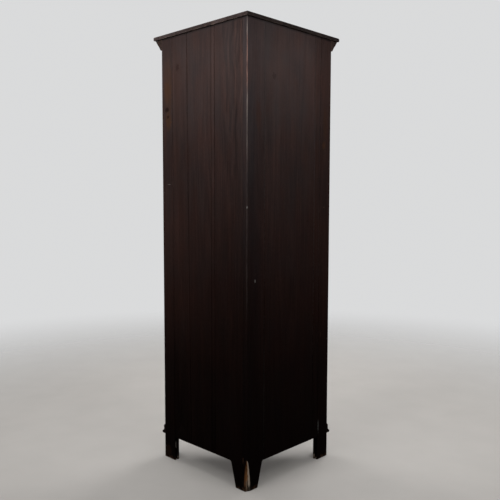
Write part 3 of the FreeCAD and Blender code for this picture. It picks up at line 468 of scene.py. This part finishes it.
def split(tree, vector):
    parts = add(tree, "ShaderNodeSeparateXYZ", {0: vector}).outputs
    return parts[0], parts[1], parts[2]


def object_place(tree):
    return add(tree, "ShaderNodeTexCoord").outputs["Object"]


def new_material(name):
    material = bpy.data.materials.new(name)
    material.use_nodes = True
    material.node_tree.nodes.clear()
    return material, material.node_tree


def show(tree, shader):
    add(tree, "ShaderNodeOutputMaterial", {"Surface": shader.outputs[0]})


# Wood

def wood_group():
    """Stained wood drawn along Z: its colour, gloss and relief, with worn edges."""
    tree = bpy.data.node_groups.new("stained_wood", "ShaderNodeTree")
    wanted = {"Vector": "Vector", "Tint": "Color", "Red": "Float", "Streak": "Float", "Wear": "Float"}
    for name, kind in wanted.items():
        tree.interface.new_socket(name=name, in_out="INPUT", socket_type="NodeSocket" + kind)
    for name, kind in {"Color": "Color", "Roughness": "Float", "Normal": "Vector"}.items():
        tree.interface.new_socket(name=name, in_out="OUTPUT", socket_type="NodeSocket" + kind)
    given = add(tree, "NodeGroupInput").outputs
    vector = given["Vector"]

    bent = swayed(tree, "bend", vector, vector, GRAIN_BEND)
    figure = calc(tree, "SINE", calc(tree, "MULTIPLY", noise(tree, "figure", bent), FIGURE_RINGS))
    figure = between(tree, figure, -1.0, 1.0)
    fibres = pattern(tree, "fibres", bent)
    hairs = pattern(tree, "hairs", bent)
    pores = pattern(tree, "pores", vector)
    blotch = pattern(tree, "blotch", vector)
    red = pattern(tree, "red", vector)
    streaks = pattern(tree, "streaks", swayed(tree, "sway", vector, bent, STREAK_SWAY), -1.0, 1.0)

    layers = {"hairs": hairs, "fibres": fibres, "figure": figure, "blotch": blotch}
    depth = 0.0
    for name, share in GRAIN_SHARES.items():
        depth = calc(tree, "ADD", depth, calc(tree, "MULTIPLY", layers[name], share))
    colour = ramp(tree, depth, STAIN_STOPS)
    colour = blend(tree, calc(tree, "MULTIPLY", red, given["Red"]), colour, opaque(STAIN_RED))
    colour = multiply(tree, colour, tones(tree, blotch, *BLOTCH_TONES))
    contrast = calc(tree, "ADD", 1.0, calc(tree, "MULTIPLY", streaks, given["Streak"]))
    colour = multiply(tree, colour, contrast)
    colour = multiply(tree, colour, given["Tint"])
    colour = blend(tree, calc(tree, "MULTIPLY", pores, PORE_SHARE), colour, opaque(PORE))

    edge = add(tree, "ShaderNodeBevel", {"Radius": EDGE_REACH}, samples=EDGE_SAMPLES).outputs[0]
    flat = add(tree, "ShaderNodeNewGeometry").outputs["Normal"]
    turn = between(tree, vector_calc(tree, "DOT_PRODUCT", edge, flat), *EDGE_TURN)
    cell = add(tree, "ShaderNodeTexVoronoi", {"Vector": vector, "Scale": NICKS_IN_A_METRE})
    nick = between(tree, cell.outputs["Distance"], *NICK_REACH)
    nick = calc(tree, "MULTIPLY", nick, between(tree, cell.outputs["Color"], *NICK_CHANCE))
    worn = calc(tree, "MULTIPLY", turn, pattern(tree, "worn", vector))
    worn = calc(tree, "MULTIPLY", worn, given["Wear"])
    worn = calc(tree, "MAXIMUM", worn, calc(tree, "MULTIPLY", nick, NICK_WEAR))
    colour = blend(tree, worn, colour, ramp(tree, fibres, WORN_STOPS))

    rough = tones(tree, fibres, *WOOD_ROUGHNESS)
    rough = calc(tree, "ADD", rough, calc(tree, "MULTIPLY", worn, WORN_ROUGHNESS))
    height = calc(tree, "SUBTRACT", calc(tree, "ADD", depth, hairs), pores)
    shown = {"Color": colour, "Roughness": rough, "Normal": relief(tree, height, *WOOD_RELIEF)}
    add(tree, "NodeGroupOutput", shown)
    return tree


WOOD = wood_group()


def board_of(tree, node, place):
    """Which board of a wide piece a place is on, and how far it is from the seam, in metres."""
    axis, width = BOARDS[node]
    turns = calc(tree, "ADD", calc(tree, "DIVIDE", split(tree, place)[axis], width), BOARD_SHIFT)
    number = calc(tree, "FLOOR", turns)
    share = calc(tree, "SUBTRACT", turns, number)
    nearest = calc(tree, "MINIMUM", share, calc(tree, "SUBTRACT", 1.0, share))
    return number, calc(tree, "MULTIPLY", nearest, width)


def board_look(tree, colour, number, seam):
    """Boards that differ in tone, with a dark line at each seam."""
    chance = add(tree, "ShaderNodeTexWhiteNoise", {"W": number}, noise_dimensions="1D").outputs["Value"]
    colour = multiply(tree, colour, tones(tree, chance, *BOARD_TONES))
    return blend(tree, between(tree, seam, SEAM, SEAM / 2, 0.0, SEAM_SHARE), colour, opaque(PORE))


def paint_light_by_facing(tree, colour, side, tint):
    """The faces that look out from the back wall on a side take a tint, which is painted light or painted
    shade.
    """
    normal = add(tree, "ShaderNodeNewGeometry").outputs["Normal"]
    across = 1.0 / ROOT2 if side == "right" else -1.0 / ROOT2
    facing = vector_calc(tree, "DOT_PRODUCT", normal, (across, 1.0 / ROOT2, 0.0))
    return blend(tree, between(tree, facing, *FACING), colour, opaque(tint), "MULTIPLY")


def foot_scuff(tree, place, colour):
    """Wear along the bottom of a piece that stands on the floor."""
    low = between(tree, split(tree, place)[2], *SCUFF_REACH)
    share = calc(tree, "MULTIPLY", low, pattern(tree, "foot_scuff", place))
    return blend(tree, share, colour, opaque(WORN_DARK))


def wood(node, grain, tint, offset):
    """A wood material whose grain runs along a direction, with a pattern of its own."""
    material, tree = new_material("wood_" + node)
    place = object_place(tree)
    turn = Vector(grain).rotation_difference(Vector(UP)).to_euler()
    along = add(tree, "ShaderNodeMapping", {"Vector": place, "Location": offset, "Rotation": turn})
    vector = along.outputs[0]
    if node in BOARDS:
        number, seam = board_of(tree, node, place)
        vector = vector_calc(tree, "ADD", vector, vector_calc(tree, "SCALE", BOARD_STEP, scale=number))
    back = is_back(node) or node == "back_nails"
    values = dict(FRONT_GRAIN)
    if back:
        wall = wall_place(tree, place, side_of(node))
        values = back_grain(tree, node, wall)
    values.update({"Vector": vector, "Tint": opaque(tint)})
    drawn = add(tree, "ShaderNodeGroup", values, node_tree=WOOD).outputs
    colour = drawn["Color"]
    if back:
        colour = back_look(tree, node, wall, colour)
    if node in BOARDS:
        colour = board_look(tree, colour, number, seam)
    if node == "top_board":
        # Painted light on the top board's edges
        for side, edge in TOP_EDGE_PAINTED_LIGHT.items():
            colour = paint_light_by_facing(tree, colour, side, edge)
    if node in CUT_ENDS:
        # Painted shade on the cut ends that look out from the back
        colour = paint_light_by_facing(tree, colour, side_of(node), CUT_ENDS[node])
    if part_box(node)[0].z < FLOOR_TOUCH:
        colour = foot_scuff(tree, place, colour)
    matt = back or node == "top_board" or node in CUT_ENDS
    made = {
        "Base Color": colour,
        "Roughness": calc(tree, "ADD", drawn["Roughness"], MATT_ROUGHNESS if matt else 0.0, clamp=True),
        "Normal": drawn["Normal"],
        "Specular IOR Level": MATT_GLOSS if matt else WAX_GLOSS,
    }
    show(tree, add(tree, "ShaderNodeBsdfPrincipled", made))
    return material


# Back walls

def is_back(node):
    return node.startswith("plank_") or node.startswith("wall_stile_")


def side_of(node):
    return "right" if "_right" in node else "left"


def wall_place(tree, place, side):
    """A place as (s, t, z) on a back wall; t is below nought on the right wall."""
    shift = CORNER_Y / ROOT2
    right = side == "right"
    given = {
        "Vector": place,
        "Rotation": (0.0, 0.0, math.radians(45.0 if right else 135.0)),
        "Location": (shift, -shift if right else shift, 0.0),
    }
    return add(tree, "ShaderNodeMapping", given).outputs[0]


def back_grain(tree, node, wall):
    """How a back piece shows its grain: calm, but streaky near the arris on one plank."""
    s, t, z = split(tree, wall)
    values = dict(BACK_GRAIN, Wear=curve(tree, z, BACK_WEAR))
    if node == CORNER_PLANK:
        near = calc(tree, "MULTIPLY", between(tree, s, *CORNER_REACH), curve(tree, z, CORNER_RISE))
        outside = between(tree, calc(tree, "ABSOLUTE", t), *INNER_FACE[::-1])
        near = calc(tree, "MULTIPLY", near, outside)
        for name, most in CORNER_GRAIN.items():
            values[name] = tones(tree, near, BACK_GRAIN[name], most)
    return values


def spot(tree, wall, centre, half):
    """One inside a ragged ellipsoid round a place on a wall, and nought outside it."""
    away = vector_calc(tree, "DIVIDE", vector_calc(tree, "SUBTRACT", wall, centre), half)
    reach = vector_calc(tree, "LENGTH", away)
    reach = calc(tree, "ADD", reach, pattern(tree, "ragged", wall, -SPOT_RAGGED, SPOT_RAGGED))
    return between(tree, reach, *SPOT_EDGE)


def paint_mark(tree, wall, colour, mark, mask=1.0):
    """A mark in its own colour, as far as the mask lets it show."""
    centre, half, paint, strength = mark
    share = calc(tree, "MULTIPLY", spot(tree, wall, centre, half), strength)
    share = calc(tree, "MULTIPLY", share, mask)
    return blend(tree, share, colour, opaque(paint))


def arris(tree, wall, colour):
    """The back arris, rubbed light near the top and faintly below, partly wear and partly a painted
    highlight, with a cooler strip beside it.
    """
    s, t, z = split(tree, wall)
    cooler = blend(tree, between(tree, s, *COOL_REACH), opaque(WHITE), opaque(COOL))
    colour = multiply(tree, colour, cooler)
    away = vector_calc(tree, "LENGTH", add(tree, "ShaderNodeCombineXYZ", {0: s, 1: t}).outputs[0])
    # Wear and painted highlight along the arris
    share = calc(tree, "MULTIPLY", curve(tree, z, ARRIS_WEAR_AND_HIGHLIGHT), between(tree, away, *ARRIS_REACH))
    share = calc(tree, "MULTIPLY", share, pattern(tree, "arris_rub", wall, *ARRIS_RUB))
    light = blend(tree, curve(tree, z, PINK_REACH), opaque(RUBBED_GREY), opaque(RUBBED_PINK))
    return blend(tree, share, colour, light)


def foot_split(tree, wall, colour):
    """The split in the back foot, which widens downwards, with a crack between its two slivers; its bare
    wood carries painted shade towards one edge and a painted highlight towards the other.
    """
    s, t, z = split(tree, wall)
    fibre = noise(tree, "splinter", wall)
    rise = calc(tree, "SUBTRACT", 1.0, calc(tree, "DIVIDE", z, CHIP_HEIGHT), clamp=True)
    swell = calc(tree, "POWER", rise, CHIP_SWELL)

    limit = calc(tree, "ADD", calc(tree, "MULTIPLY", swell, CHIP_WIDTH), TINY)
    across = calc(tree, "DIVIDE", s, limit)
    across = calc(tree, "ADD", across, between(tree, fibre, *SPREAD, -CHIP_RAGGED, CHIP_RAGGED))
    bare = calc(tree, "MULTIPLY", between(tree, across, *CHIP_EDGE), between(tree, rise, *CHIP_TIP))
    bare = calc(tree, "MULTIPLY", bare, between(tree, across, *CHIP_START))
    # Bare wood across the split: brown with painted shade, then pale with a painted highlight
    bare_colour = multiply(tree, ramp(tree, across, CHIP_LIGHT_AND_SHADE_STOPS), between(tree, fibre, *SPREAD, *CHIP_TONES))
    low = between(tree, z, *CRACK_RISE)
    sliver = calc(tree, "MULTIPLY", low, between(tree, across, *SLIVER_EDGE))
    bare_colour = blend(tree, calc(tree, "MULTIPLY", sliver, SLIVER_SHARE), bare_colour, opaque(SLIVER))
    off_crack = calc(tree, "ABSOLUTE", calc(tree, "SUBTRACT", across, CRACK_PLACE))
    crack = calc(tree, "MULTIPLY", low, between(tree, off_crack, *CRACK_EDGE))
    bare_colour = blend(tree, crack, bare_colour, opaque(STAIN_DARK))

    beside = calc(tree, "DIVIDE", calc(tree, "ABSOLUTE", t), calc(tree, "MULTIPLY", swell, STAIN_WIDTH))
    beside = calc(tree, "ADD", beside, between(tree, fibre, *SPREAD, -STAIN_RAGGED, STAIN_RAGGED))
    stained = calc(tree, "MULTIPLY", between(tree, beside, *STAIN_EDGE), between(tree, s, *STAIN_FACE))
    stained = calc(tree, "MULTIPLY", stained, between(tree, rise, *STAIN_RISE))

    colour = blend(tree, stained, colour, opaque(WORN_BROWN))
    colour = blend(tree, bare, colour, bare_colour)
    dirt_height = calc(tree, "ADD", z, calc(tree, "MULTIPLY", fibre, DIRT_RAGGED))
    clean = calc(tree, "MULTIPLY", sliver, bare)
    return multiply(tree, colour, calc(tree, "MAXIMUM", curve(tree, dirt_height, DIRT), clean))


def back_look(tree, node, wall, colour):
    """A back piece: painted light near the top, painted shade towards the floor and near the corner, dust
    and painted sheen above, cleaner inside, with its marks.
    """
    s, t, z = split(tree, wall)
    side = side_of(node)
    # Painted shade: darker low down near the corner and lighter towards the sides
    shade = calc(tree, "SUBTRACT", curve(tree, s, LOW_PAINTED_SHADE[side]), 1.0)
    shade = calc(tree, "ADD", 1.0, calc(tree, "MULTIPLY", shade, curve(tree, z, LOW_PAINTED_SHADE_REACH)))
    # Painted light and shade by height: lighter near the top, darker towards the floor, and a painted
    # shadow under the top board
    tone = calc(tree, "MULTIPLY", curve(tree, z, BACK_LIGHT_AND_SHADE), shade)
    outer = 1.0
    if is_back(node):
        depth = calc(tree, "ABSOLUTE", t)
        inside = calc(tree, "MULTIPLY", between(tree, depth, *INNER_FACE), between(tree, s, *CORNER_EDGE))
        inner = blend(tree, between(tree, z, *FOOT_TOP), opaque(END_TINT), opaque(INNER_TINT))
        tone = blend(tree, inside, tone, inner)
        end_face = between(tree, s, *END_FACE)
        tone = blend(tree, end_face, tone, opaque(END_TINT))
        outer = calc(tree, "SUBTRACT", 1.0, calc(tree, "MAXIMUM", inside, end_face))
    colour = blend(tree, curve(tree, z, CALM), colour, opaque(STAIN_MIDDLE))
    colour = multiply(tree, colour, pattern(tree, "mottle", wall, *MOTTLE_TONES))
    colour = multiply(tree, colour, tone)
    # Dust and painted sheen on the upper half
    dust_and_sheen = calc(tree, "MULTIPLY", curve(tree, z, DUST_AND_SHEEN_REACH), curve(tree, s, DUST_AND_SHEEN_MOST[side]))
    dust_and_sheen = calc(tree, "MULTIPLY", dust_and_sheen, pattern(tree, "cloud", wall, *CLOUD_TONES))
    colour = blend(tree, calc(tree, "MULTIPLY", dust_and_sheen, outer), colour, opaque(DUST_AND_SHEEN))
    hue = blend(tree, pattern(tree, "hue", wall), opaque(COOL), opaque(WARM))
    colour = multiply(tree, colour, hue)
    # Joint lines: dark joints, and light lines of dust and painted highlight
    for nodes, *mark in JOINT_LINES:
        if node in nodes:
            colour = paint_mark(tree, wall, colour, mark, outer)
    for mark in MARKS.get(node, []):
        colour = paint_mark(tree, wall, colour, mark, outer)
    for mark in FOOT_CHIPS.get(node, []):
        colour = paint_mark(tree, wall, colour, mark)
    if node == ARRIS_PLANK:
        colour = arris(tree, wall, colour)
        colour = foot_split(tree, wall, colour)
    return colour


# Glass and brass

def glass():
    """Old window glass: clear, a little wavy, and open to the light of the lamps."""
    material, tree = new_material("old_glass")
    waves = noise(tree, "glass_waves", object_place(tree))
    pane = add(tree, "ShaderNodeBsdfPrincipled", {
        "Base Color": opaque(GLASS_COLOUR),
        "Roughness": GLASS_ROUGHNESS,
        "IOR": GLASS_IOR,
        "Transmission Weight": 1.0,
        "Normal": relief(tree, waves, *GLASS_RELIEF),
    })
    clear = add(tree, "ShaderNodeBsdfTransparent", {"Color": opaque(GLASS_COLOUR)})
    lamp_ray = add(tree, "ShaderNodeLightPath").outputs["Is Shadow Ray"]
    show(tree, add(tree, "ShaderNodeMixShader", {0: lamp_ray, 1: pane.outputs[0], 2: clear.outputs[0]}))
    return material


def brass():
    """Aged brass: dull in patches, with fine scratches."""
    material, tree = new_material("aged_brass")
    place = object_place(tree)
    tarnish = pattern(tree, "tarnish", place)
    scratches = noise(tree, "scratches", place)
    uneven = between(tree, scratches, *SPREAD, -SCRATCH_ROUGHNESS, SCRATCH_ROUGHNESS)
    show(tree, add(tree, "ShaderNodeBsdfPrincipled", {
        "Base Color": blend(tree, tarnish, opaque(BRASS_BRIGHT), opaque(BRASS_DULL)),
        "Roughness": calc(tree, "ADD", tones(tree, tarnish, *BRASS_ROUGHNESS), uneven),
        "Metallic": 1.0,
        "Normal": relief(tree, scratches, *BRASS_RELIEF),
    }))
    return material


# Dressing of the pieces

def grain_of(node):
    """The direction in which a wooden piece was sawn."""
    if node in ("cornice_right", "base_moulding_right", "shelf_cleats_left"):
        return CANT_RIGHT
    if node in ("cornice_left", "base_moulding_left", "shelf_cleats_right"):
        return CANT_LEFT
    lying = ("rail", "board", "shelf", "front", "blocks", "cross")
    standing = ("stile", "cant_board", "plank")
    if any(word in node for word in lying) and not any(word in node for word in standing):
        return ACROSS
    return UP


def tint_of(node, slot):
    """How much lighter or darker a wooden piece is than the plain stain."""
    if slot == "inner_wood":
        return INNER_TINT
    if node in CUT_ENDS:
        return END_TINT
    return TINTS.get(node, PLAIN_TINT if is_back(node) else FRONT_TINT)


def edge_width(node):
    """How far the edges of a wooden piece are rounded off."""
    if any(word in node for word in ("moulding", "cornice", "bar", "bead")):
        return FINE_EDGE
    return BACK_EDGE if is_back(node) else PLAIN_EDGE


def round_edges(piece, width):
    """The imported triangles are joined into whole faces and the sharp edges between them are rounded."""
    weld = piece.modifiers.new("weld", "WELD")
    weld.merge_threshold = TINY
    whole = piece.modifiers.new("whole_faces", "DECIMATE")
    whole.decimate_type = "DISSOLVE"
    whole.angle_limit = math.radians(FLAT_DEGREES)
    bevel = piece.modifiers.new("rounded_edges", "BEVEL")
    bevel.width = width
    bevel.segments = EDGE_SEGMENTS
    bevel.limit_method = "ANGLE"
    bevel.angle_limit = math.radians(SHARP_DEGREES)
    bevel.loop_slide = False
    bevel.harden_normals = True


def dress():
    """Every piece gets its material, and the wooden ones get rounded edges."""
    shared = {"glass": glass(), "brass": brass()}
    for index, row in enumerate(frame["record"]["subparts"]):
        node = row["node"]
        slot = row["material_slot"]
        piece = frame["nodes"][node]
        material = shared.get(slot)
        if material is None:
            offset = [index * step for step in PATTERN_STEP]
            material = wood(node, grain_of(node), tint_of(node, slot), offset)
        if slot.endswith("wood"):
            round_edges(piece, edge_width(node))
        piece.data.materials.clear()
        piece.data.materials.append(material)


# Studio

def seen_rays(tree):
    """One for what the eye sees, also in mirrors and through glass, and nought for light that bounces."""
    rays = add(tree, "ShaderNodeLightPath").outputs
    seen = calc(tree, "MAXIMUM", rays["Is Camera Ray"], rays["Is Glossy Ray"])
    seen = calc(tree, "MAXIMUM", seen, rays["Is Transmission Ray"])
    return calc(tree, "MULTIPLY", seen, calc(tree, "LESS_THAN", rays["Diffuse Depth"], 1.0))


def floor_material():
    """Pale and plain, clear towards the rim, and darker to light that bounces."""
    material, tree = new_material("pale_floor")
    place = object_place(tree)
    bounce = add(tree, "ShaderNodeLightPath").outputs["Is Diffuse Ray"]
    colour = blend(tree, bounce, opaque(FLOOR_COLOUR), opaque(FLOOR_BOUNCE))
    colour = multiply(tree, colour, pattern(tree, "floor", place, *FLOOR_TONES))
    solid = add(tree, "ShaderNodeBsdfPrincipled", {
        "Base Color": colour,
        "Roughness": FLOOR_ROUGHNESS,
        "Specular IOR Level": FLOOR_GLOSS,
        "Emission Color": opaque(FLOOR_COLOUR),
        "Emission Strength": calc(tree, "MULTIPLY", seen_rays(tree), FLOOR_GLOW / FLOOR_COLOUR[0]),
    })
    clear = add(tree, "ShaderNodeBsdfTransparent")
    reach = vector_calc(tree, "LENGTH", place)
    fade = add(tree, "ShaderNodeMapRange", {0: reach, 1: FLOOR_FADE_START, 2: FLOOR_RADIUS},
               interpolation_type="SMOOTHSTEP").outputs[0]
    show(tree, add(tree, "ShaderNodeMixShader", {0: fade, 1: solid.outputs[0], 2: clear.outputs[0]}))
    return material


def floor():
    """A disc under the cabinet that fades into the background."""
    mesh = bpy.data.meshes.new("floor")
    turns = [2 * math.pi * index / FLOOR_CORNERS for index in range(FLOOR_CORNERS)]
    points = [(FLOOR_RADIUS * math.cos(turn), FLOOR_RADIUS * math.sin(turn), 0.0) for turn in turns]
    mesh.from_pydata(points, [], [list(range(FLOOR_CORNERS))])
    mesh.materials.append(floor_material())
    piece = bpy.data.objects.new("floor", mesh)
    piece.location.z = -FLOOR_DROP
    bpy.context.scene.collection.objects.link(piece)


def world():
    """Pale to the eye, in mirrors and through glass, and a dim even light for the rest."""
    made = bpy.data.worlds.new("studio")
    bpy.context.scene.world = made
    made.use_nodes = True
    tree = made.node_tree
    tree.nodes.clear()
    pale = add(tree, "ShaderNodeBackground", {"Color": opaque(BACKGROUND), "Strength": 1.0})
    dim = add(tree, "ShaderNodeBackground", {"Color": opaque(WHITE), "Strength": AMBIENT})
    both = add(tree, "ShaderNodeMixShader", {0: seen_rays(tree), 1: dim.outputs[0], 2: pale.outputs[0]})
    add(tree, "ShaderNodeOutputWorld", {"Surface": both.outputs[0]})


def lamps():
    """Soft area lamps, which the camera doesn't see."""
    for name, (place, aim, size, spread, watts) in LAMPS.items():
        light = bpy.data.lights.new(name, "AREA")
        light.size = size
        light.spread = math.radians(spread)
        light.energy = watts
        lamp = bpy.data.objects.new(name, light)
        lamp.location = place
        lamp.rotation_euler = (Vector(aim) - Vector(place)).to_track_quat("-Z", "Y").to_euler()
        lamp.visible_camera = False
        bpy.context.scene.collection.objects.link(lamp)


def camera():
    """The photograph's camera, behind the cabinet; it is turned, then pitched down, then rolled."""
    ahead = Vector((-math.sin(CAMERA_TURN), -math.cos(CAMERA_TURN), 0.0))
    right = Vector((-math.cos(CAMERA_TURN), math.sin(CAMERA_TURN), 0.0))
    level_up = Vector(UP)
    forward = ahead * math.cos(CAMERA_PITCH) - level_up * math.sin(CAMERA_PITCH)
    up = level_up * math.cos(CAMERA_PITCH) + ahead * math.sin(CAMERA_PITCH)
    rolled_right = right * math.cos(CAMERA_ROLL) + up * math.sin(CAMERA_ROLL)
    rolled_up = up * math.cos(CAMERA_ROLL) - right * math.sin(CAMERA_ROLL)
    data = bpy.data.cameras.new("camera")
    data.sensor_width = SENSOR
    data.lens = SENSOR * FOCAL_PIXELS / FRAME_PIXELS
    seat = bpy.data.objects.new("camera", data)
    rotation = Matrix((rolled_right, rolled_up, -forward)).transposed()
    place = Vector(CAMERA_FROM_CORNER) + Vector((0.0, CORNER_Y, 0.0))
    seat.matrix_world = Matrix.Translation(place) @ rotation.to_4x4()
    bpy.context.scene.collection.objects.link(seat)
    bpy.context.scene.camera = seat


bpy.context.scene.view_settings.view_transform = "Standard"
dress()
floor()
world()
lamps()
camera()
